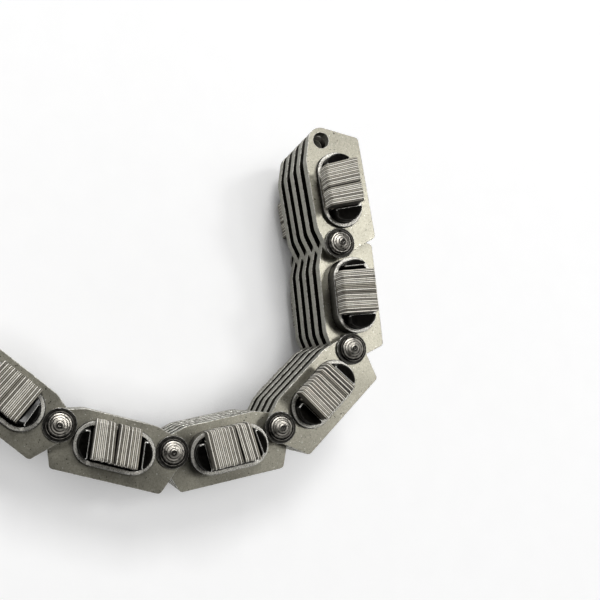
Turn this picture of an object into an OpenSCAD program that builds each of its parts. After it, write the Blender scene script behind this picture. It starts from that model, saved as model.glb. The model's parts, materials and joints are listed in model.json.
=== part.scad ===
// Chain for an infinitely variable speed drive: six links of laminated plates on pins.
// Each link carries a cage with a pack of thin slats, which slide sideways to grip toothed cones.
// The origin is on the axis of the first link's free bore, half way across the chain.
// X runs along the first link, Y points to the chain's back and Z runs along the pins.
// All sizes are in millimetres and all angles in degrees.

/* [Chain] */
// Distance between the axes of neighbouring pins
pitch = 28.6; // [28.2:0.1:30]
// Plates in each link
plates_per_link = 5; // [5:1:7]
// Thickness of one plate
plate_thickness = 2.8; // [2.2:0.05:2.9]
// Play between neighbouring plates on a pin
plate_play = 0.18; // [0.1:0.02:0.4]

/* [Plate outline] */
// Radius of the plate's round ends about the pins
lug_radius = 3.6; // [3.2:0.05:3.9]
// Distance from the pin line to the straight back edge
back_reach = 10.8; // [10:0.1:12]
// Distance from the pin line to the straight inner edge
inner_reach = 5.3; // [4.8:0.1:6]
// Distance along the link from a pin to the shoulder of the inner edge
shoulder_set = 5.1; // [4:0.1:7]
// Lean of the end edges towards the back
end_lean = 21.4; // [18:0.2:25]
// Radius of the back corners
corner_radius = 1.2; // [0.5:0.1:2]
// Radius of the inner shoulders
shoulder_radius = 6; // [2:0.5:8]

/* [Cage] */
// Outer size of the cage along the link
cage_length = 20.5; // [20:0.1:20.8]
// Outer size of the cage across the link
cage_width = 10.9; // [10.5:0.1:11.2]
// Wall of the cage
cage_wall = 1; // [0.9:0.05:1.3]
// Distance that the cage stands out past the interleaved plates on each side
cage_stand = 1.39; // [1:0.01:1.8]
// Distance from the pin line back to the middle of the cage
cage_set_back = 2.4; // [2.2:0.1:2.8]
// Distance that the end segments stand out past the cage's rims
segment_stand = 2.6; // [1:0.1:2.6]
// Reach of the standing part of the end segments from the cage's middle line to the side of the hooks
segment_hook_side = 3.2; // [2:0.1:4]

/* [Slats] */
// Length of a slat across the chain
slat_length = 44; // [43:0.5:46]
// Thickness of a slat
slat_thickness = 0.4; // [0.35:0.01:0.4]
// Slats in each pack
slats_per_pack = 25; // [22:1:25]
// Height of the hooked heads
head_height = 4.4; // [4:0.1:4.5]
// Distance from the pin line to the tip of the hooks, on the side of the pins
hook_reach = 3.9; // [3.5:0.1:4.3]
// Distance from the pin line to the back edge of the heads
head_back = 5.6; // [5:0.1:6]
// Radius of the rounded corner over each hook
hook_corner = 0.9; // [0.6:0.1:1.4]
// Radius of the rounded corner at the back of each head
back_corner = 0.8; // [0.3:0.1:1.4]
// Side play of the slats in the cage
slat_play = 0.8; // [0.7:0.05:1]
// Gap kept at the shoulders where the slats stop against the cage
stop_gap = 0.05; // [0.02:0.01:0.1]

/* [Pins] */
// Diameter of a pin
pin_diameter = 4.2; // [4:0.05:4.4]
// Radial play of a pin in its bores
bore_play = 0.05; // [0.03:0.01:0.09]
// Diameter of the washers under the pin heads
washer_diameter = 8.3; // [7.6:0.1:8.4]
// Thickness of the washers
washer_thickness = 0.8; // [0.6:0.05:1]
// Diameter of a pin head
head_diameter = 6.6; // [6:0.1:7]
// Height of a pin head over the plates
pin_head_height = 3.2; // [2.8:0.1:3.6]

/* [Rest pose] */
// Bend at the first pin, measured from a straight chain
bend_12 = 3.7; // [-16:0.1:56]
// Bend at the second pin
bend_23 = 49.9; // [-16:0.1:56]
// Bend at the third pin
bend_34 = 34.1; // [-16:0.1:56]
// Bend at the fourth pin
bend_45 = 26.2; // [-16:0.1:56]
// Bend at the fifth pin
bend_56 = 24.1; // [-16:0.1:56]

/* [Hidden] */
LINKS = [1, 2, 3, 4, 5, 6];
JOINTS = [1, 2, 3, 4, 5];
HALVES = ["a", "b"];

$fn = 64;
arc_step = 9;
slat_arc_step = 22.5;
seat_gap = 0.02;

bends = [bend_12, bend_23, bend_34, bend_45, bend_56];
level_pitch = plate_thickness + plate_play;
stack_height = (2 * plates_per_link - 1) * level_pitch + plate_thickness;
cage_height = stack_height + 2 * cage_stand;
slat_travel = slat_length - 2 * head_height - cage_height - 2 * stop_gap;

// Lowest level of each link's plates; the last link sits one level above its neighbour
first_level = [2, 1, 2, 1, 2, 3];
// Lowest level of the plates on each pin
pin_level = [1, 1, 1, 1, 2];
// Distance that each cage stands above the chain's middle, so that all slats reach one floor
cage_lift = [0, 0, 0, 0, 0, slat_travel];
slat_lift = slat_travel / 2;

// The end segments have turned with their packs
// Distances from the middle of each cage to the flat faces of its two end segments, nearer bore first
segment_sets = [[6.8, 5.42], [7.4, 5.4], [6.6, 5.96], [7.1, 6.15], [6.8, 6.4], [7.4, 6.35]];
// Leans of the same flat faces away from square to the link
segment_leans = [[7.5, 2.6], [2, 0], [3, 1], [8, 4], [7.3, 7], [4, -3]];

// How the loose packs have settled in their cages. A narrow groove parts each pack in two
// Slats on the near side of each groove, towards the link's first pin
slats_before_groove = [14, 13, 10, 9, 13, 13];
// Places of the first and last slat of both parts, measured along the link from the cage's middle
slat_places = [
    [-6, -0.16, 0.48, 4.98],
    [-5.7, -0.12, 0.35, 5.1],
    [-5.15, -0.8, -0.35, 5.61],
    [-5.26, -1.78, -0.94, 5.8],
    [-5.3, 0.03, 0.68, 5.5],
    [-5.85, -0.45, 0.02, 5.2],
];
// Leans of the same four slats away from square to the link
slat_leans = [
    [7.5, 5.4, 5, 2.6],
    [0.3, -2, -2.4, -1.1],
    [2.9, 1.1, 0.9, -0.5],
    [5.2, 5.3, 3.4, 2.3],
    [7.3, 6.4, 9.2, 7],
    [0, -1.2, -1.4, -3],
];
// Distance that each pack has shifted towards the chain's back
back_shift = [0.24, 0.1, 0, 0.15, 0.1, 0];
// Largest distance that single slats have shifted sideways
slat_scatter = 0.08;

// Direction of a link, and the place of its first bore
function heading(n) = n == 1 ? 0 : heading(n - 1) - bends[n - 2];
function unit(angle) = [cos(angle), sin(angle)];
function bore_place(n) = n == 1 ? [0, 0] : bore_place(n - 1) + pitch * unit(heading(n - 1));

// Bottom of a level of plates
function level_bottom(level) = (level - 1) * level_pitch - stack_height / 2;

// Points of the arc that rounds the corner b between a and c, on an outline drawn anticlockwise
function arc_points(a, b, c, radius) =
    let (
        u = (a - b) / norm(a - b),
        v = (c - b) / norm(c - b),
        half = acos(u * v) / 2,
        centre = b + (u + v) / norm(u + v) * radius / sin(half),
        first = b + u * radius / tan(half) - centre,
        start = atan2(first.y, first.x),
        sweep = 180 - 2 * half,
        steps = ceil(sweep / arc_step)
    )
    [for (i = [0:steps]) centre + radius * unit(start + sweep * i / steps)];

// Outline with every corner rounded to its own radius
function rounded(corners, radii) =
    let (last = len(corners) - 1)
    [for (i = [0:last])
        each arc_points(corners[i == 0 ? last : i - 1], corners[i], corners[i == last ? 0 : i + 1], radii[i])];

// Corner where two tangents of a circle about the origin meet, given by the directions of their normals
function tangent_corner(radius, a, b) = radius / cos((b - a) / 2) * unit((a + b) / 2);

function mirrored(p) = [pitch - p.x, p.y];

module on_link(n) {
    translate([bore_place(n).x, bore_place(n).y, 0])
        rotate(heading(n))
            children();
}

module in_cage(n) {
    on_link(n)
        translate([pitch / 2, cage_set_back, cage_lift[n - 1]])
            children();
}

module obround(length, width) {
    for (side = [-1, 1])
        translate([side * (length - width) / 2, 0])
            circle(d = width);
    square([length - width, width], center = true);
}

module plate_outline() {
    shoulder = [shoulder_set, -inner_reach];
    end_normal = 180 - end_lean;
    slope_normal = 360 + atan2(shoulder.y, shoulder.x) - acos(lug_radius / norm(shoulder));
    lug = tangent_corner(lug_radius, end_normal, slope_normal);
    back = [(back_reach * sin(end_lean) - lug_radius) / cos(end_lean), back_reach];
    polygon(rounded(
        [shoulder, mirrored(shoulder), mirrored(lug), mirrored(back), back, lug],
        [shoulder_radius, shoulder_radius, lug_radius, corner_radius, corner_radius, lug_radius]
    ));
}

module plate() {
    linear_extrude(plate_thickness)
        difference() {
            plate_outline();
            for (x = [0, pitch])
                translate([x, 0])
                    circle(d = pin_diameter + 2 * bore_play);
            translate([pitch / 2, cage_set_back])
                obround(cage_length + 2 * seat_gap, cage_width + 2 * seat_gap);
        }
}

module plates(n) {
    color("darkgray")
        on_link(n)
            for (i = [0:plates_per_link - 1])
                translate([0, 0, level_bottom(first_level[n - 1] + 2 * i)])
                    plate();
}

module cage(n) {
    color("silver")
        in_cage(n)
            linear_extrude(cage_height, center = true)
                difference() {
                    obround(cage_length, cage_width);
                    obround(cage_length - 2 * cage_wall, cage_width - 2 * cage_wall);
                }
}

// Slice of a circle, cut off at the given distance from its middle on the side of the hooks
module segment_outline(n, side, cut) {
    end = (side + 1) / 2;
    centre = (cage_length - cage_width) / 2;
    radius = cage_width / 2 - cage_wall - seat_gap;
    flat = segment_sets[n - 1][end] - centre;
    translate([side * centre, 0])
        rotate(segment_leans[n - 1][end])
            intersection() {
                circle(radius);
                translate([side < 0 ? -flat - 2 * cage_width : flat, -cut])
                    square(2 * cage_width);
            }
}

module end_segments(n) {
    color("dimgray")
        in_cage(n)
            for (side = [-1, 1]) {
                linear_extrude(cage_height, center = true)
                    segment_outline(n, side, cage_width);
                linear_extrude(cage_height + 2 * segment_stand, center = true)
                    segment_outline(n, side, segment_hook_side);
            }
}

// Outline of a slat seen along the link, as [place across the link, height]
function slat_half() =
    let (
        top = slat_length / 2,
        neck_side = cage_width / 2 - cage_wall - slat_play,
        neck_back = cage_set_back + neck_side,
        neck_front = cage_set_back - neck_side,
        step = neck_back - head_back,
        hook_centre = [hook_corner - hook_reach, top - hook_corner],
        back_centre = [head_back - back_corner, top - back_corner]
    )
    [
        [neck_front, top - head_height],
        [-hook_reach, top - head_height],
        for (a = [180:-slat_arc_step:90]) hook_centre + hook_corner * unit(a),
        for (a = [90:-slat_arc_step:0]) back_centre + back_corner * unit(a),
        [head_back, top - head_height],
        [neck_back, top - head_height - step],
    ];

function upside_down(points) = [for (i = [len(points) - 1:-1:0]) [points[i].x, -points[i].y]];

module slat() {
    translate([0, -cage_set_back, 0])
        rotate([90, 0, 90])
            linear_extrude(slat_thickness, center = true)
                polygon(concat(slat_half(), upside_down(slat_half())));
}

// The part of pack n before its groove is half "a", the rest half "b"
module slats(n, half) {
    before = slats_before_groove[n - 1];
    count = half == "a" ? before : slats_per_pack - before;
    ends = half == "a" ? [0, 1] : [2, 3];
    places = [for (e = ends) slat_places[n - 1][e]];
    leans = [for (e = ends) slat_leans[n - 1][e]];
    color("lightgray")
        on_link(n)
            translate([pitch / 2, cage_set_back + back_shift[n - 1], slat_lift])
                for (i = [0:count - 1])
                    let (
                        share = i / (count - 1),
                        place = places[0] + share * (places[1] - places[0]),
                        lean = leans[0] + share * (leans[1] - leans[0]),
                        scatter = slat_scatter * sin(97 * n + 131 * (i * i + count * i))
                    )
                    translate([place, 0, 0])
                        rotate(lean)
                            translate([0, scatter, 0])
                                slat();
}

module at_pin(j) {
    on_link(j)
        translate([pitch, 0, (pin_level[j - 1] - 1) * level_pitch])
            children();
}

// Turned head with a narrow foot, a rim, two rings and a small centre mark, from the plates up
function head_profile() =
    let (
        rim = head_diameter / 2,
        foot = washer_thickness + 0.1,
        shoulder = pin_head_height / 2 + 0.1
    )
    [
        [rim - 0.4, foot],
        [rim, foot + 0.15],
        [rim, shoulder - 0.1],
        [rim - 0.1, shoulder],
        [rim * 0.86, shoulder + 0.08],
        [rim * 0.52, pin_head_height - 0.62],
        [rim * 0.5, pin_head_height - 0.5],
        [rim * 0.24, pin_head_height - 0.08],
        [rim * 0.2, pin_head_height],
        [rim * 0.12, pin_head_height],
        [0, pin_head_height - 0.2],
    ];

module pin(j) {
    shaft = pin_diameter / 2;
    upper = [for (p = head_profile()) [p.x, p.y + stack_height / 2]];
    color("gray")
        at_pin(j)
            rotate_extrude()
                polygon(concat(
                    [[shaft, upper[0].y]],
                    upper,
                    upside_down(upper),
                    [[shaft, -upper[0].y]]
                ));
}

module washers(j) {
    lift = stack_height / 2 + seat_gap;
    color("slategray")
        at_pin(j)
            for (side = [-1, 1])
                translate([0, 0, side * (lift + washer_thickness / 2)])
                    linear_extrude(washer_thickness, center = true)
                        difference() {
                            circle(d = washer_diameter);
                            circle(d = pin_diameter + 2 * bore_play);
                        }
}

for (n = LINKS) {
    plates(n);
    cage(n);
    end_segments(n);
    for (half = HALVES)
        slats(n, half);
}

for (j = JOINTS) {
    pin(j);
    washers(j);
}
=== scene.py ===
"""Looks of a variable speed chain: rounded laminated plates, turned pins, cages and packs of ground slats."""

import json
import math
import random

import bpy
from mathutils import Matrix, Vector, geometry


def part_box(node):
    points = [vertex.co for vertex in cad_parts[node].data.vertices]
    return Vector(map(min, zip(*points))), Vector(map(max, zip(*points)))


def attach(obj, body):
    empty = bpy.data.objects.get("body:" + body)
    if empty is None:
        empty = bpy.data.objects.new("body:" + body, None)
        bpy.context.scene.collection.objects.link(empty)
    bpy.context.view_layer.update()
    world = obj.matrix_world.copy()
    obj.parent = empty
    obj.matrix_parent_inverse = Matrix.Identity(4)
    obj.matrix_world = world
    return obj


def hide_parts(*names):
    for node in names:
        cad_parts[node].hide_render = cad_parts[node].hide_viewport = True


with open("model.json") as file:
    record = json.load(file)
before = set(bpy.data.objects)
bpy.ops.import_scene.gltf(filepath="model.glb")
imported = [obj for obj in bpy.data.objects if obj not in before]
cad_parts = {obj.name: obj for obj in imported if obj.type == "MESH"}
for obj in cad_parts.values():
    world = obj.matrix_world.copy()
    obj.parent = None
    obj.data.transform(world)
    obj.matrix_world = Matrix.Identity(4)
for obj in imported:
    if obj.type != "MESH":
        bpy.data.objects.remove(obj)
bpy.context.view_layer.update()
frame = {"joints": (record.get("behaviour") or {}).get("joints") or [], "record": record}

MM = 0.001
LINKS = range(1, 7)
PINS = range(1, 6)

# Sizes of the chain in millimetres, angles in degrees, as in the part's source; tables go by link or pin
PITCH = 28.6
PLATES_PER_LINK = 5
PLATE_THICKNESS = 2.8
LEVEL_PITCH = 2.98
STACK_HEIGHT = 9 * LEVEL_PITCH + PLATE_THICKNESS
LUG_RADIUS = 3.6
BACK_REACH = 10.8
INNER_REACH = 5.3
SHOULDER_SET = 5.1
END_LEAN = 21.4
CORNER_RADIUS = 1.2
SHOULDER_RADIUS = 6
BORE_RADIUS = 2.15
SEAT_GAP = 0.02
CAGE_LENGTH, CAGE_WIDTH, CAGE_WALL = 20.5, 10.9, 1
CAGE_STAND = 1.39
CAGE_HEIGHT = STACK_HEIGHT + 2 * CAGE_STAND
CAGE_SET_BACK = 2.4
# Flat sides of the two end segments: distance from the cage's middle, and lean
SEGMENT_SETS = {1: (6.8, 5.42), 2: (7.4, 5.4), 3: (6.6, 5.96), 4: (7.1, 6.15), 5: (6.8, 6.4), 6: (7.4, 6.35)}
SEGMENT_LEANS = {1: (7.5, 2.6), 2: (2, 0), 3: (3, 1), 4: (8, 4), 5: (7.3, 7), 6: (4, -3)}
SEGMENT_STAND, SEGMENT_HOOK_SIDE = 2.6, 3.2
SLAT_LENGTH, SLAT_THICKNESS = 44, 0.4
SLATS_PER_PACK = 25
HEAD_HEIGHT = 4.4
HOOK_REACH, HEAD_BACK = 3.9, 5.6
HOOK_CORNER, BACK_CORNER = 0.9, 0.8
SLAT_PLAY = 0.8
STOP_GAP = 0.05
SLAT_TRAVEL = SLAT_LENGTH - 2 * HEAD_HEIGHT - CAGE_HEIGHT - 2 * STOP_GAP
WASHER_DIAMETER, WASHER_THICKNESS = 8.3, 0.8
HEAD_DIAMETER, PIN_HEAD_HEIGHT = 6.6, 3.2
PIN_RADIUS = 2.1
FIRST_LEVEL = {1: 2, 2: 1, 3: 2, 4: 1, 5: 2, 6: 3}
PIN_LEVEL = {1: 1, 2: 1, 3: 1, 4: 1, 5: 2}
SLATS_BEFORE_GROOVE = {1: 14, 2: 13, 3: 10, 4: 9, 5: 13, 6: 13}
# Places along the link, from its middle, and leans: first and last slat of half a, then of half b
SLAT_PLACES = {
    1: (-6, -0.16, 0.48, 4.98), 2: (-5.7, -0.12, 0.35, 5.1), 3: (-5.15, -0.8, -0.35, 5.61),
    4: (-5.26, -1.78, -0.94, 5.8), 5: (-5.3, 0.03, 0.68, 5.5), 6: (-5.85, -0.45, 0.02, 5.2),
}
SLAT_LEANS = {
    1: (7.5, 5.4, 5, 2.6), 2: (0.3, -2, -2.4, -1.1), 3: (2.9, 1.1, 0.9, -0.5),
    4: (5.2, 5.3, 3.4, 2.3), 5: (7.3, 6.4, 9.2, 7), 6: (0, -1.2, -1.4, -3),
}
BACK_SHIFT = {1: 0.24, 2: 0.1, 3: 0, 4: 0.15, 5: 0.1, 6: 0}
SLAT_SCATTER = 0.08
# Darker slats, most of them beside the groove: tone by place in the half pack
DARK_SLATS = {
    (1, "a"): {13: 0.1}, (2, "a"): {9: 0.25}, (3, "a"): {4: 0.0, 7: 0.1}, (4, "b"): {0: 0.15},
    (5, "a"): {12: 0.0}, (5, "b"): {0: 0.1}, (6, "b"): {0: 0.2},
}

# Radii of the rounded edges, and the strip beside an end segment's edge that is painted bright with it, part wear and
# part painted highlight
PLATE_EDGE, CAGE_EDGE, WASHER_EDGE, SLAT_EDGE = 0.14, 0.16, 0.12, 0.075
SEGMENT_EDGE, SEGMENT_BRIGHT_STRIP = 0.26, 0.08
# Radii of the corners in the outlines of the end segments and of the slats' necks
SEGMENT_CORNER, SLAT_CORNER = 0.5, 0.12
# Pin heads: the collar's edge ring that takes the bright cone steel as a painted highlight, lowest height that counts
# as cone, and the hollow in the tip
HIGHLIGHT_RING, COLLAR_TOP, MARK_RADIUS = 0.14, 1.2, 0.4
# Foot of the cone, foot of its upper step and the tip, as shares of the head's radius
CONE_SHARE, STEP_SHARE, TIP_SHARE = 0.86, 0.5, 0.2
# A visible piece may differ from its CAD box by this much before it is reported
BOX_PLAY = 0.05

# Material slots of a piece
CAP, EDGE, SIDE, WORN_AND_HIGHLIT = range(4)
# Slot INNER: the faces between plates, painted near black as shade; on end segments the same slot holds their bright
# edges
INNER = WORN_AND_HIGHLIT
CONE, COLLAR, MARK = range(3)


def placed(name, data):
    """A new object in the scene."""
    made = bpy.data.objects.new(name, data)
    bpy.context.scene.collection.objects.link(made)
    return made


def add_camera():
    """The photo's camera, as solved from the pins, plates and slat packs in it."""
    data = bpy.data.cameras.new("camera")
    data.sensor_width = 36
    data.lens = 45.6
    data.shift_x, data.shift_y = 0.12749, 0.03904
    data.clip_start, data.clip_end = 0.01, 20
    camera = placed("camera", data)
    camera.location = (0.056251, -0.079679, 0.205329)
    camera.rotation_euler = (0.09291, -0.21754, 1.40434)
    bpy.context.scene.camera = camera


add_camera()
bpy.context.scene.view_settings.view_transform = "Standard"


# Outlines are lists of points with their outward normals: (x, y, nx, ny)
def arc(centre, radius, start, sweep, steps, outward=1):
    """Points of an arc; outward is -1 for an arc that is hollow seen from outside. Angles in degrees."""
    points = []
    for i in range(steps + 1):
        a = math.radians(start + sweep * i / steps)
        c, s = math.cos(a), math.sin(a)
        points.append((centre[0] + radius * c, centre[1] + radius * s, outward * c, outward * s))
    return points


def rounded(corners, radii, arc_step=4):
    """A polygon, listed anticlockwise, with every corner rounded in steps of about arc_step degrees."""
    points = []
    for i, corner in enumerate(corners):
        b = Vector(corner)
        u = (Vector(corners[i - 1]) - b).normalized()
        v = (Vector(corners[(i + 1) % len(corners)]) - b).normalized()
        half = math.acos(max(-1, min(1, u.dot(v)))) / 2
        centre = b + (u + v).normalized() * radii[i] / math.sin(half)
        first = b + u * radii[i] / math.tan(half) - centre
        turn = 1 if u.x * v.y - u.y * v.x < 0 else -1
        sweep = turn * (180 - 2 * math.degrees(half))
        start = math.degrees(math.atan2(first.y, first.x))
        points += arc(centre, radii[i], start, sweep, max(2, math.ceil(abs(sweep) / arc_step)), turn)
    return points


def circle(radius, centre=(0, 0), steps=72):
    return arc(centre, radius, 0, 360, steps)[:-1]


def obround(length, width, centre=(0, 0), steps=40):
    reach = (length - width) / 2
    right = arc((centre[0] + reach, centre[1]), width / 2, -90, 180, steps)
    return right + arc((centre[0] - reach, centre[1]), width / 2, 90, 180, steps)


def hole(outline):
    """The same outline as an opening, with its normals turned into it."""
    return [(x, y, -nx, -ny) for x, y, nx, ny in reversed(outline)]


def tangent_corner(radius, a, b):
    """Where the tangents at the angles a and b to a circle about the origin meet."""
    reach, middle = radius / math.cos(math.radians(b - a) / 2), math.radians(a + b) / 2
    return reach * math.cos(middle), reach * math.sin(middle)


def plate_outline():
    def mirrored(p):
        return PITCH - p[0], p[1]

    shoulder = (SHOULDER_SET, -INNER_REACH)
    lean = math.radians(END_LEAN)
    tangent = math.acos(LUG_RADIUS / math.hypot(*shoulder))
    slope_normal = 360 + math.degrees(math.atan2(shoulder[1], shoulder[0]) - tangent)
    lug = tangent_corner(LUG_RADIUS, 180 - END_LEAN, slope_normal)
    back = ((BACK_REACH * math.sin(lean) - LUG_RADIUS) / math.cos(lean), BACK_REACH)
    corners = [shoulder, mirrored(shoulder), mirrored(lug), mirrored(back), back, lug]
    return rounded(corners, [SHOULDER_RADIUS, SHOULDER_RADIUS, LUG_RADIUS, CORNER_RADIUS, CORNER_RADIUS, LUG_RADIUS])


def prism(loops, low, high, edge, steps=3, strip=0.0):
    """Vertices, normals, faces and slots of an upright prism with rounded edges. Every later loop is a hole.
    A strip widens the edge slot on the flat faces."""
    levels = [(edge + strip, low, 0, -1)] if strip else []
    for i in range(steps, -1, -1):
        t = math.pi / 2 * i / steps
        levels.append((edge * (1 - math.cos(t)), low + edge * (1 - math.sin(t)), math.cos(t), -math.sin(t)))
    levels += [(inset, low + high - z, radial, -up) for inset, z, radial, up in reversed(levels)]
    points, normals, faces, slots = [], [], [], []
    caps, bottom, top = [], [], []
    for loop in loops:
        base, n = len(points), len(loop)
        for inset, z, radial, up in levels:
            for x, y, nx, ny in loop:
                points.append((x - nx * inset, y - ny * inset, z))
                normals.append((nx * radial, ny * radial, up))
        for m in range(len(levels) - 1):
            for i in range(n):
                a, b = base + m * n + i, base + m * n + (i + 1) % n
                faces.append((a, b, b + n, a + n))
                slots.append(SIDE if 2 * m == len(levels) - 2 else EDGE)
        caps.append([Vector((x - nx * (edge + strip), y - ny * (edge + strip), 0)) for x, y, nx, ny in loop])
        bottom += range(base, base + n)
        top += range(base + (len(levels) - 1) * n, base + len(levels) * n)
    flat = [p for cap in caps for p in cap]
    for a, b, c in geometry.tessellate_polygon(caps):
        if (flat[b] - flat[a]).cross(flat[c] - flat[a]).z < 0:
            b, c = c, b
        faces += [(top[a], top[b], top[c]), (bottom[a], bottom[c], bottom[b])]
        slots += [CAP, CAP]
    return points, normals, faces, slots


def lathe(profile, steps=96):
    """A turned solid from a profile of (radius, height, normal's radius, normal's height, slot), top to bottom."""
    points, normals, faces, slots = [], [], [], []
    for r, z, nr, nz, _ in profile:
        for i in range(steps):
            a = 2 * math.pi * i / steps
            c, s = math.cos(a), math.sin(a)
            points.append((r * c, r * s, z))
            normals.append((nr * c, nr * s, nz))
    for m in range(len(profile) - 1):
        for i in range(steps):
            a, b = m * steps + i, m * steps + (i + 1) % steps
            faces.append((a, a + steps, b + steps, b))
            slots.append(profile[m][4])
    faces += [tuple(range(steps)), tuple(range(len(points) - 1, len(points) - steps - 1, -1))]
    slots += [profile[0][4], profile[-2][4]]
    return points, normals, faces, slots


class Piece:
    """Collects solids into one mesh, which stands for one node of the frame."""

    def __init__(self, node, materials):
        self.node, self.materials = node, materials
        self.points, self.normals, self.faces, self.slots = [], [], [], []
        self.tones = []

    def add(self, solid, place, tone=0.0):
        points, normals, faces, slots = solid
        base, turn = len(self.points), place.to_3x3()
        self.points += [(place @ Vector(p)) * MM for p in points]
        self.normals += [turn @ Vector(n) for n in normals]
        self.faces += [tuple(base + i for i in f) for f in faces]
        self.slots += slots
        self.tones += [tone] * len(points)

    def finish(self, body):
        mesh = bpy.data.meshes.new(self.node + "_made")
        mesh.from_pydata(self.points, [], self.faces)
        mesh.polygons.foreach_set("use_smooth", [True] * len(self.faces))
        mesh.polygons.foreach_set("material_index", self.slots)
        for material in self.materials:
            mesh.materials.append(material)
        tone = mesh.attributes.new("tone", "FLOAT", "POINT")
        tone.data.foreach_set("value", self.tones)
        mesh.update()
        mesh.normals_split_custom_set_from_vertices([n.normalized() for n in self.normals])
        made = placed(self.node + "_made", mesh)
        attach(made, body)
        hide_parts(self.node)
        low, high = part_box(self.node)
        new_low = Vector([min(p[i] for p in self.points) for i in range(3)])
        new_high = Vector([max(p[i] for p in self.points) for i in range(3)])
        off = max(max(abs(a - b) for a, b in zip(low, new_low)), max(abs(a - b) for a, b in zip(high, new_high)))
        if off > BOX_PLAY * MM:
            print("off the CAD box:", self.node, round(off / MM, 3), "mm")
        return made


def shifted(x=0.0, y=0.0, z=0.0):
    return Matrix.Translation((x, y, z))


def turned(angle):
    return Matrix.Rotation(math.radians(angle), 4, "Z")


def link_places():
    """Where every link's pin line starts and points, and the middles of the bores, from the frame."""
    hinges = sorted((j for j in frame["joints"] if j["type"] == "hinge"), key=lambda j: j["name"])
    last = [m for m in frame["record"]["mounts"] if m["name"] == "last_bore"][0]
    bores = [Vector((0, 0))] + [Vector(j["pos_m"][:2]) / MM for j in hinges] + [Vector(last["pos_m"][:2]) / MM]
    places = {}
    for n in LINKS:
        run = bores[n] - bores[n - 1]
        places[n] = shifted(bores[n - 1].x, bores[n - 1].y) @ turned(math.degrees(math.atan2(run.y, run.x)))
    return places, bores


LINK_PLACE, BORES = link_places()


def level_bottom(level):
    return (level - 1) * LEVEL_PITCH - STACK_HEIGHT / 2


def cage_place(n):
    """Middle of a link's cage. The sixth stands higher than the others by the slats' travel."""
    lift = SLAT_TRAVEL if n == 6 else 0
    return LINK_PLACE[n] @ shifted(PITCH / 2, CAGE_SET_BACK, lift)


class Shader:
    """A node material, built one node at a time."""

    def __init__(self, name, metallic=1.0):
        self.material = bpy.data.materials.new(name)
        self.material.use_nodes = True
        self.nodes, self.links = self.material.node_tree.nodes, self.material.node_tree.links
        self.nodes.clear()
        output = self.nodes.new("ShaderNodeOutputMaterial")
        self.surface = self.nodes.new("ShaderNodeBsdfPrincipled")
        self.links.new(self.surface.outputs[0], output.inputs[0])
        self.surface.inputs["Metallic"].default_value = metallic
        self.coords = self.nodes.new("ShaderNodeTexCoord").outputs["Object"]

    def put(self, socket, value):
        if isinstance(value, bpy.types.NodeSocket):
            self.links.new(value, socket)
        elif isinstance(value, tuple) and len(value) == 3 and socket.type == "RGBA":
            socket.default_value = (*value, 1)
        else:
            socket.default_value = value

    def stretched(self, x=1.0, y=1.0, z=1.0):
        node = self.nodes.new("ShaderNodeMapping")
        self.put(node.inputs["Vector"], self.coords)
        node.inputs["Scale"].default_value = (x, y, z)
        return node.outputs[0]

    def noise(self, size, detail=4.0, roughness=0.6, vector=None):
        """Noise with grains of about the size in millimetres."""
        node = self.nodes.new("ShaderNodeTexNoise")
        self.put(node.inputs["Vector"], vector or self.coords)
        self.put(node.inputs["Scale"], 1 / (size * MM))
        self.put(node.inputs["Detail"], detail)
        self.put(node.inputs["Roughness"], roughness)
        return node.outputs["Fac"]

    def ramp(self, value, *stops):
        node = self.nodes.new("ShaderNodeValToRGB")
        self.put(node.inputs[0], value)
        elements = node.color_ramp.elements
        while len(elements) < len(stops):
            elements.new(0.5)
        for element, (place, colour) in zip(elements, stops):
            element.position = place
            if not isinstance(colour, tuple):
                colour = (colour, colour, colour)
            element.color = (*colour, 1)
        return node.outputs[0]

    def mix(self, share, a, b, kind="MIX"):
        node = self.nodes.new("ShaderNodeMix")
        node.data_type, node.blend_type = "RGBA", kind
        self.put(node.inputs[0], share)
        for socket, value in ((node.inputs[6], a), (node.inputs[7], b)):
            self.put(socket, value if isinstance(value, (tuple, bpy.types.NodeSocket)) else (value, value, value))
        return node.outputs[2]

    def calc(self, operation, a, b=0.0, c=0.0):
        node = self.nodes.new("ShaderNodeMath")
        node.operation = operation
        for socket, value in zip(node.inputs, (a, b, c)):
            self.put(socket, value)
        return node.outputs[0]

    def attribute(self, name):
        node = self.nodes.new("ShaderNodeAttribute")
        node.attribute_name = name
        return node.outputs["Fac"]

    def bump(self, height, distance, strength=1.0, below=None):
        node = self.nodes.new("ShaderNodeBump")
        self.put(node.inputs["Strength"], strength)
        self.put(node.inputs["Distance"], distance * MM)
        self.put(node.inputs["Height"], height)
        if below:
            self.put(node.inputs["Normal"], below)
        return node.outputs[0]

    def glow(self, share):
        """Adds plain white to what the camera sees of the surface, itself or in a reflection.
        It fades where something stands close over the surface, and ends where that covers most of it: painted shade
        under and beside things."""
        path = self.nodes.new("ShaderNodeLightPath").outputs
        seen = self.calc("ADD", path["Is Camera Ray"], path["Is Glossy Ray"])
        seen = self.calc("MINIMUM", self.calc("ADD", seen, path["Is Transmission Ray"]), 1.0)
        self.put(self.surface.inputs["Emission Color"], (1.0, 1.0, 1.0))
        open_sky = self.nodes.new("ShaderNodeAmbientOcclusion")
        open_sky.samples = 8
        open_sky.inputs["Distance"].default_value = 15 * MM
        open_share = open_sky.outputs["AO"]
        # The occlusion darkens the added white: painted shade close to things
        covered = self.calc("MAXIMUM", self.calc("MULTIPLY_ADD", open_share, 2.5, -0.9), 0.0)
        share = self.calc("MULTIPLY", share, self.calc("MINIMUM", open_share, covered))
        self.put(self.surface.inputs["Emission Strength"], self.calc("MULTIPLY", seen, share))

    def done(self, colour, roughness, normal=None):
        self.put(self.surface.inputs["Base Color"], colour)
        self.put(self.surface.inputs["Roughness"], roughness)
        if normal:
            self.put(self.surface.inputs["Normal"], normal)
        return self.material


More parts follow.
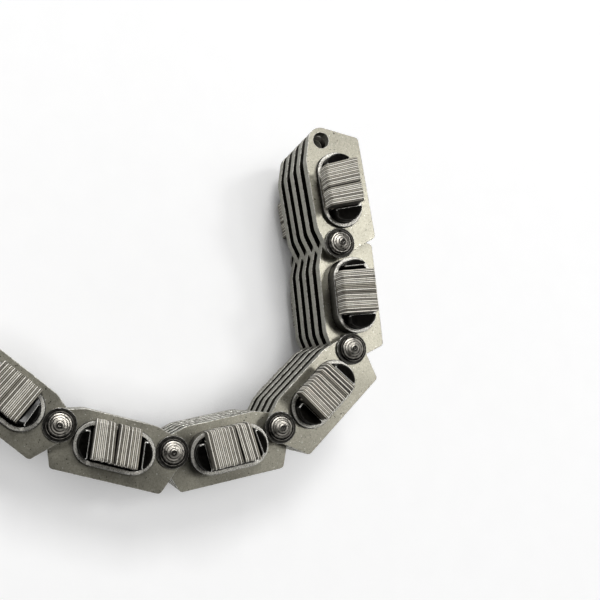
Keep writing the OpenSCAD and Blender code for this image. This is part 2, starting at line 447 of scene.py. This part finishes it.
def plate_steel(name, dark, light, shine):
    """Satin plate steel: fine grain, drifting tone, small dark pits and bright specks."""
    s = Shader(name)
    grain = s.noise(0.7, 5, 0.75)
    colour = s.ramp(grain, (0.3, dark), (0.7, light))
    drift = s.noise(8, 3, 0.5)
    colour = s.mix(1.0, colour, s.ramp(drift, (0.3, 0.88), (0.7, 1.06)), "MULTIPLY")
    colour = s.mix(1.0, colour, s.ramp(s.attribute("tone"), (0.0, 0.92), (1.0, 1.06)), "MULTIPLY")
    speckle = s.noise(0.32, 2, 0.6)
    colour = s.mix(1.0, colour, s.ramp(speckle, (0.3, 0.82), (0.5, 1.0), (0.7, 1.1)), "MULTIPLY")
    pits = s.ramp(s.noise(0.62, 1.5, 0.5), (0.27, 1.0), (0.32, 0.0))
    colour = s.mix(pits, colour, (0.035, 0.03, 0.022))
    specks = s.ramp(s.noise(0.5, 1.5, 0.5), (0.72, 0.0), (0.76, 1.0))
    colour = s.mix(specks, colour, (0.8, 0.79, 0.72))
    roughness = s.ramp(drift, (0.3, shine), (0.7, shine + 0.1))
    normal = s.bump(grain, 0.02, 0.5)
    normal = s.bump(speckle, 0.012, 0.6, normal)
    normal = s.bump(pits, 0.04, -0.6, normal)
    return s.done(colour, roughness, normal)


def sheared_steel(name, dark, light):
    """Cut side of a plate: streaks across the thickness over a fine grain."""
    s = Shader(name)
    streaks = s.noise(0.35, 4, 0.6, s.stretched(1, 1, 0.12))
    grain = s.noise(0.4, 4, 0.7)
    both = s.mix(0.5, streaks, grain)
    colour = s.ramp(both, (0.32, dark), (0.68, light))
    colour = s.mix(1.0, colour, s.ramp(s.attribute("tone"), (0.0, 0.85), (1.0, 1.1)), "MULTIPLY")
    normal = s.bump(both, 0.025, 0.6)
    return s.done(colour, s.ramp(grain, (0.3, 0.4), (0.7, 0.62)), normal)


def worn_and_highlit_edge(name, dark, light, shine=0.3, size=0.7):
    """Edge painted bright, part wear and part painted highlight, with darker nicks."""
    s = Shader(name)
    nicks = s.noise(size, 3, 0.7)
    colour = s.ramp(nicks, (0.34, dark), (0.5, light), (0.8, (0.9, 0.89, 0.86)))
    return s.done(colour, s.ramp(nicks, (0.3, shine + 0.2), (0.7, shine)), s.bump(nicks, 0.02, 0.6))


def dark_steel(name, dark, light, shine):
    """Near-black steel with faint mottling; between the plates and on the end segments it is painted shade."""
    s = Shader(name)
    mottle = s.noise(0.8, 5, 0.65)
    colour = s.ramp(mottle, (0.35, dark), (0.75, light))
    return s.done(colour, s.ramp(mottle, (0.3, shine), (0.7, shine + 0.2)), s.bump(mottle, 0.02, 0.5))


def slat_steel(name, dark, light):
    """Slat steel with fine specks; tone sets each slat apart. Bright on the ground ends; on the faces and edges the
    colours are darkened as painted shade between the slats.
    """
    s = Shader(name, 0.15)
    specks = s.noise(0.3, 2, 0.6)
    colour = s.ramp(specks, (0.26, dark), (0.44, light))
    tone_stops = (0.0, (0.07, 0.061, 0.05)), (0.28, (0.5, 0.485, 0.44)), (0.5, (0.92, 0.91, 0.88)), (0.8, (1.0, 1.0, 1.0))
    darkening = s.ramp(s.attribute("tone"), *tone_stops)
    colour = s.mix(1.0, colour, darkening, "MULTIPLY")
    drift = s.noise(1.6, 2, 0.5)
    colour = s.mix(1.0, colour, s.ramp(drift, (0.35, 0.85), (0.6, 1.0)), "MULTIPLY")
    return s.done(colour, s.ramp(specks, (0.3, 0.6), (0.7, 0.48)), s.bump(specks, 0.02, 0.6))


def turned_steel(name, dark, light, shine):
    """Lathe-turned steel: fine rings about the pin's own axis, from the ring attribute in millimetres."""
    s = Shader(name)
    along = s.nodes.new("ShaderNodeCombineXYZ")
    s.put(along.inputs[0], s.attribute("ring"))
    node = s.nodes.new("ShaderNodeTexNoise")
    s.put(node.inputs["Vector"], along.outputs[0])
    s.put(node.inputs["Scale"], 2.6)
    s.put(node.inputs["Detail"], 2.0)
    rings = node.outputs["Fac"]
    mottle = s.noise(0.9, 4, 0.6)
    colour = s.ramp(s.mix(0.25, rings, mottle), (0.43, dark), (0.57, light))
    tangent = s.nodes.new("ShaderNodeTangent")
    tangent.direction_type, tangent.axis = "RADIAL", "Z"
    s.put(s.surface.inputs["Tangent"], tangent.outputs[0])
    s.put(s.surface.inputs["Anisotropic"], 0.75)
    normal = s.bump(rings, 0.12)
    return s.done(colour, s.ramp(mottle, (0.3, shine), (0.7, shine + 0.15)), normal)


PLATE = [
    plate_steel("plate_face", (0.27, 0.258, 0.21), (0.38, 0.364, 0.3), 0.33),
    # Plate edges painted brighter than the faces: part wear, part painted highlight
    worn_and_highlit_edge("plate_edge", (0.14, 0.135, 0.115), (0.55, 0.535, 0.48)),
    sheared_steel("plate_side", (0.16, 0.158, 0.134), (0.36, 0.355, 0.305)),
    # Faces between the plates: near black, painted shade in the gaps
    dark_steel("plate_inner_shade", (0.012, 0.011, 0.009), (0.06, 0.057, 0.048), 0.45),
]
CAGE = [
    worn_and_highlit_edge("cage_rim", (0.2, 0.193, 0.17), (0.64, 0.62, 0.56), 0.42, 0.36),
    worn_and_highlit_edge("cage_edge", (0.1, 0.097, 0.088), (0.5, 0.49, 0.46)),
    # Cage walls painted much darker than the rim: painted shade on the walls
    sheared_steel("cage_wall", (0.05, 0.048, 0.042), (0.16, 0.155, 0.135)),
]
# End segments: their near-black top, edges and sides are painted shade
SEGMENT = [
    dark_steel("segment_top", (0.0015, 0.0014, 0.0013), (0.01, 0.0092, 0.008), 0.42),
    dark_steel("segment_edge", (0.008, 0.008, 0.007), (0.05, 0.048, 0.044), 0.34),
    dark_steel("segment_side", (0.006, 0.006, 0.005), (0.03, 0.028, 0.025), 0.4),
    worn_and_highlit_edge("segment_worn_and_highlit", (0.3, 0.29, 0.27), (0.85, 0.84, 0.8), 0.45),
]
SLAT = [
    # Faces and rounded edges near black: painted shade between the slats
    slat_steel("slat_face", (0.04, 0.037, 0.03), (0.2, 0.19, 0.16)),
    slat_steel("slat_edge", (0.02, 0.0185, 0.0155), (0.17, 0.163, 0.14)),
    slat_steel("slat_ground", (0.55, 0.52, 0.44), (1.0, 0.96, 0.865)),
]
PIN = [
    turned_steel("pin_cone", (0.015, 0.014, 0.012), (0.57, 0.538, 0.478), 0.24),
    # The collar is painted much darker than the cone: painted shade around the cone
    turned_steel("pin_collar", (0.005, 0.0047, 0.0042), (0.14, 0.133, 0.122), 0.28),
    turned_steel("pin_mark", (0.015, 0.0142, 0.0125), (0.24, 0.227, 0.205), 0.3),
]
WASHER = [
    dark_steel("washer_face", (0.012, 0.0115, 0.01), (0.05, 0.048, 0.043), 0.36),
    worn_and_highlit_edge("washer_edge", (0.03, 0.029, 0.026), (0.3, 0.29, 0.26)),
    dark_steel("washer_side", (0.03, 0.029, 0.027), (0.12, 0.115, 0.1), 0.4),
]


def make_plates(n):
    window = obround(CAGE_LENGTH + 2 * SEAT_GAP, CAGE_WIDTH + 2 * SEAT_GAP, (PITCH / 2, CAGE_SET_BACK))
    loops = [plate_outline(), hole(window), hole(circle(BORE_RADIUS)), hole(circle(BORE_RADIUS, (PITCH, 0)))]
    points, normals, faces, slots = prism(loops, 0, PLATE_THICKNESS, PLATE_EDGE)
    piece = Piece("plates_%d" % n, PLATE)
    draw = random.Random(100 + n)
    for i in range(PLATES_PER_LINK):
        # The faces between the plates are painted near black as shade; only the outer faces of the outer plates keep
        # the plate steel
        outer = {0: -1, PLATES_PER_LINK - 1: 1}.get(i, 0)
        hidden = [slot == CAP and normals[face[0]][2] * outer <= 0 for slot, face in zip(slots, faces)]
        shaded_slots = [INNER if inner else slot for slot, inner in zip(slots, hidden)]
        place = LINK_PLACE[n] @ shifted(z=level_bottom(FIRST_LEVEL[n] + 2 * i))
        piece.add((points, normals, faces, shaded_slots), place, draw.random())
    piece.finish("link_%d" % n)


def make_cage(n):
    inner = obround(CAGE_LENGTH - 2 * CAGE_WALL, CAGE_WIDTH - 2 * CAGE_WALL)
    solid = prism([obround(CAGE_LENGTH, CAGE_WIDTH), hole(inner)], -CAGE_HEIGHT / 2, CAGE_HEIGHT / 2, CAGE_EDGE)
    piece = Piece("cage_%d" % n, CAGE)
    piece.add(solid, cage_place(n))
    piece.finish("link_%d" % n)


def segment_outlines(flat):
    """Outlines of an end segment about its round side's middle: the standing part, and the low part by the hooks."""
    radius, corner, cut = CAGE_WIDTH / 2 - CAGE_WALL - SEAT_GAP, SEGMENT_CORNER, SEGMENT_HOOK_SIDE
    across = flat + corner
    reach = math.sqrt((radius - corner) ** 2 - across ** 2)
    turn = math.degrees(math.atan2(reach, across))
    cut_reach = math.sqrt((radius - corner) ** 2 - (cut - corner) ** 2)
    cut_turn = math.degrees(math.atan2(corner - cut, cut_reach))
    standing = arc((0, 0), radius, cut_turn, turn - cut_turn, 40)
    standing += arc((across, reach), corner, turn, 180 - turn, 8)[1:]
    standing += arc((across, corner - cut), corner, 180, 90, 6)
    standing += arc((cut_reach, corner - cut), corner, 270, cut_turn + 90, 6)[:-1]
    low = arc((0, 0), radius, -turn, turn + cut_turn + 4, 12)
    low += arc((across, -reach), corner, 180, 180 - turn, 8)[:-1]
    return standing, low


def mirrored_outline(outline):
    return [(-x, y, -nx, ny) for x, y, nx, ny in reversed(outline)]


def make_end_segments(n):
    piece = Piece("end_segments_%d" % n, SEGMENT)
    centre = (CAGE_LENGTH - CAGE_WIDTH) / 2
    for end, side in ((0, -1), (1, 1)):
        outlines = segment_outlines(SEGMENT_SETS[n][end] - centre)
        for outline, top in zip(outlines, (CAGE_HEIGHT / 2 + SEGMENT_STAND, CAGE_HEIGHT / 2)):
            outline = outline if side > 0 else mirrored_outline(outline)
            points, normals, faces, slots = prism([outline], -top, top, SEGMENT_EDGE, strip=SEGMENT_BRIGHT_STRIP)
            for i, face in enumerate(faces):
                nx, ny = (sum(normals[k][axis] for k in face) for axis in (0, 1))
                past = abs(points[face[0]][0]) - SEGMENT_SETS[n][end] + centre
                # Painted bright, part wear and part painted highlight: the flat side's edges and, from the third link
                # on, its corner by the hooks
                flat_side = nx * side < -0.1
                corner = n > 2 and ny < -0.9 * math.hypot(nx, ny) and past < 1
                if slots[i] == EDGE and top > CAGE_HEIGHT / 2 and (flat_side or corner):
                    slots[i] = WORN_AND_HIGHLIT
            place = cage_place(n) @ shifted(side * centre) @ turned(SEGMENT_LEANS[n][end])
            piece.add((points, normals, faces, slots), place)
    piece.finish("link_%d" % n)


def slat_outline():
    top, neck = SLAT_LENGTH / 2, CAGE_WIDTH / 2 - CAGE_WALL - SLAT_PLAY
    back, front = CAGE_SET_BACK + neck, CAGE_SET_BACK - neck
    step, neck_end = back - HEAD_BACK, top - HEAD_HEIGHT
    half = [
        (front, neck_end, SLAT_CORNER), (-HOOK_REACH, neck_end, SLAT_CORNER), (-HOOK_REACH, top, HOOK_CORNER),
        (HEAD_BACK, top, BACK_CORNER), (HEAD_BACK, neck_end, SLAT_CORNER), (back, neck_end - step, SLAT_CORNER),
    ]
    corners = [(x, y) for x, y, _ in half] + [(x, -y) for x, y, _ in reversed(half)]
    radii = [r for _, _, r in half] + [r for _, _, r in reversed(half)]
    if sum(a[0] * b[1] - b[0] * a[1] for a, b in zip(corners, corners[1:] + corners[:1])) < 0:
        corners.reverse()
        radii.reverse()
    return rounded(corners, radii, 18)


SLAT_SOLID = prism([slat_outline()], -SLAT_THICKNESS / 2, SLAT_THICKNESS / 2, SLAT_EDGE)
# Stands a slat up: its outline's X runs across the link, its Y up and its thickness along the link
SLAT_UPRIGHT = Matrix(((0, 0, 1, 0), (1, 0, 0, -CAGE_SET_BACK), (0, 1, 0, 0), (0, 0, 0, 1)))


def make_slats(n, half):
    before = SLATS_BEFORE_GROOVE[n]
    count = before if half == "a" else SLATS_PER_PACK - before
    ends = (0, 1) if half == "a" else (2, 3)
    places, leans = [SLAT_PLACES[n][e] for e in ends], [SLAT_LEANS[n][e] for e in ends]
    pack = LINK_PLACE[n] @ shifted(PITCH / 2, CAGE_SET_BACK + BACK_SHIFT[n], SLAT_TRAVEL / 2)
    piece = Piece("slats_%d%s" % (n, half), SLAT)
    draw = random.Random(10 * n + (half == "b"))
    for i in range(count):
        share = i / (count - 1)
        place = places[0] + share * (places[1] - places[0])
        lean = leans[0] + share * (leans[1] - leans[0])
        # An uneven offset across the link, the same as in the part's source
        scatter = SLAT_SCATTER * math.sin(math.radians(97 * n + 131 * (i * i + count * i)))
        tone = draw.uniform(0.55, 1.0) if i % 2 else draw.uniform(0.05, 0.5)
        tone = DARK_SLATS.get((n, half), {}).get(i, tone)
        piece.add(SLAT_SOLID, pack @ shifted(place) @ turned(lean) @ shifted(y=scatter) @ SLAT_UPRIGHT, tone)
    piece.finish("slat_group_%d%s" % (n, half))


def grooved(first, last, count, depth):
    """Points of a turned cone, with shallow grooves cut square to the line from first to last."""
    (r0, z0), (r1, z1) = first, last
    length = math.hypot(r1 - r0, z1 - z0)
    inward = ((z0 - z1) / length * depth, (r1 - r0) / length * depth)
    points = []
    for i in range(2 * count + 1):
        t = i / (2 * count)
        sunk = i % 2
        points.append((r0 + t * (r1 - r0) + sunk * inward[0], z0 + t * (z1 - z0) + sunk * inward[1]))
    return points


def head_profile():
    """Turned head from its foot up: (radius, height over the plates)."""
    rim, foot, shoulder, top = HEAD_DIAMETER / 2, WASHER_THICKNESS + 0.1, PIN_HEAD_HEIGHT / 2 + 0.1, PIN_HEAD_HEIGHT
    profile = [(PIN_RADIUS, foot), (rim - 0.4, foot), (rim, foot + 0.15)]
    profile += [(rim, shoulder - HIGHLIGHT_RING), (rim - HIGHLIGHT_RING, shoulder)]
    profile += grooved((rim * CONE_SHARE, shoulder + 0.08), (rim * 0.52, top - 0.62), 2, 0.11)
    profile += grooved((rim * STEP_SHARE, top - 0.5), (rim * 0.24, top - 0.08), 1, 0.08)
    return profile + [(rim * TIP_SHARE, top), (rim * 0.12, top), (0.02, top - 0.2)]


def pin_place(j):
    return shifted(BORES[j].x, BORES[j].y, (PIN_LEVEL[j] - 1) * LEVEL_PITCH)


def make_pin(j):
    rim = HEAD_DIAMETER / 2
    upper = [(r, z + STACK_HEIGHT / 2) for r, z in head_profile()]
    corners = list(reversed(upper)) + [(r, -z) for r, z in upper]
    profile = []
    for i in range(len(corners) - 1):
        (r0, z0), (r1, z1) = corners[i], corners[i + 1]
        length = math.hypot(r1 - r0, z1 - z0)
        nr, nz = -(z1 - z0) / length, (r1 - r0) / length
        cone = min(r0, r1) < rim * CONE_SHARE and abs(z0) > STACK_HEIGHT / 2 + COLLAR_TOP
        # The collar's edge ring takes the bright cone steel: a painted highlight ring
        highlight_ring = abs(abs(r1 - r0) - HIGHLIGHT_RING) < 0.001 and max(r0, r1) == rim
        slot = MARK if min(r0, r1) < MARK_RADIUS else CONE if cone or highlight_ring else COLLAR
        profile += [(r0, z0, nr, nz, slot), (r1, z1, nr, nz, slot)]
    piece = Piece("pin_%d" % j, PIN)
    solid = lathe(profile)
    piece.add(solid, pin_place(j))
    made = piece.finish("link_%d" % j)
    # Distance from the tip along the cone, for the turning rings
    ring = made.data.attributes.new("ring", "FLOAT", "POINT")
    ring.data.foreach_set("value", [math.hypot(p[0], p[1]) + 0.6 * p[2] for p in solid[0]])


def make_washers(j):
    piece = Piece("washers_%d" % j, WASHER)
    low = STACK_HEIGHT / 2 + SEAT_GAP
    loops = [circle(WASHER_DIAMETER / 2), hole(circle(BORE_RADIUS))]
    for start in (low, -low - WASHER_THICKNESS):
        piece.add(prism(loops, start, start + WASHER_THICKNESS, WASHER_EDGE), pin_place(j))
    piece.finish("link_%d" % j)


for n in LINKS:
    make_plates(n)
    make_cage(n)
    make_end_segments(n)
    for half in "ab":
        make_slats(n, half)
for j in PINS:
    make_pin(j)
    make_washers(j)


# Metres from here on
MIDDLE = (0.045, -0.045, 0.0)
FLOOR_REACH = 4
FLOOR_GLOW = 0.485


def add_floor():
    """Pale floor under the lower ends of the slats."""
    height = (SLAT_TRAVEL / 2 - SLAT_LENGTH / 2) * MM
    corners = [(x * FLOOR_REACH, y * FLOOR_REACH, height) for x, y in ((-1, -1), (1, -1), (1, 1), (-1, 1))]
    mesh = bpy.data.meshes.new("floor")
    mesh.from_pydata(corners, [], [(0, 1, 2, 3)])
    floor = placed("floor", mesh)
    s = Shader("floor_white", 0.0)
    paper = s.noise(6, 3, 0.5)
    colour = s.ramp(paper, (0.3, 0.68), (0.7, 0.7))
    mesh.materials.append(s.done(colour, 0.9, s.bump(paper, 0.02, 0.1)))
    s.glow(FLOOR_GLOW)


def add_lamp(name, place, size, power):
    """A square lamp turned towards the middle of the chain."""
    data = bpy.data.lights.new(name, "AREA")
    data.shape, data.size, data.size_y = "RECTANGLE", size, size
    data.energy = power
    lamp = placed(name, data)
    lamp.location = place
    lamp.rotation_euler = (Vector(MIDDLE) - Vector(place)).to_track_quat("-Z", "Y").to_euler()


def add_world(wall, ceiling):
    """A studio with pale walls up to about 25 degrees over the horizon, and a dim ceiling."""
    world = bpy.data.worlds.new("studio")
    bpy.context.scene.world = world
    world.use_nodes = True
    nodes, links = world.node_tree.nodes, world.node_tree.links
    split = nodes.new("ShaderNodeSeparateXYZ")
    links.new(nodes.new("ShaderNodeTexCoord").outputs["Generated"], split.inputs[0])
    level = nodes.new("ShaderNodeMapRange")
    links.new(split.outputs["Z"], level.inputs["Value"])
    for name, value in (("From Min", 0.35), ("From Max", 0.55), ("To Min", wall), ("To Max", ceiling)):
        level.inputs[name].default_value = value
    links.new(level.outputs[0], nodes["Background"].inputs["Strength"])
    nodes["Background"].inputs["Color"].default_value = (1, 1, 1, 1)


add_floor()
add_world(0.56, 0.05)
add_lamp("key", (-0.088, 0.483, 1.069), 0.14, 1.7)
add_lamp("side", (0.064, 0.518, 1.06), 0.34, 1.3)
add_lamp("top", (-0.547, 0.058, 1.039), 0.32, 6.5)
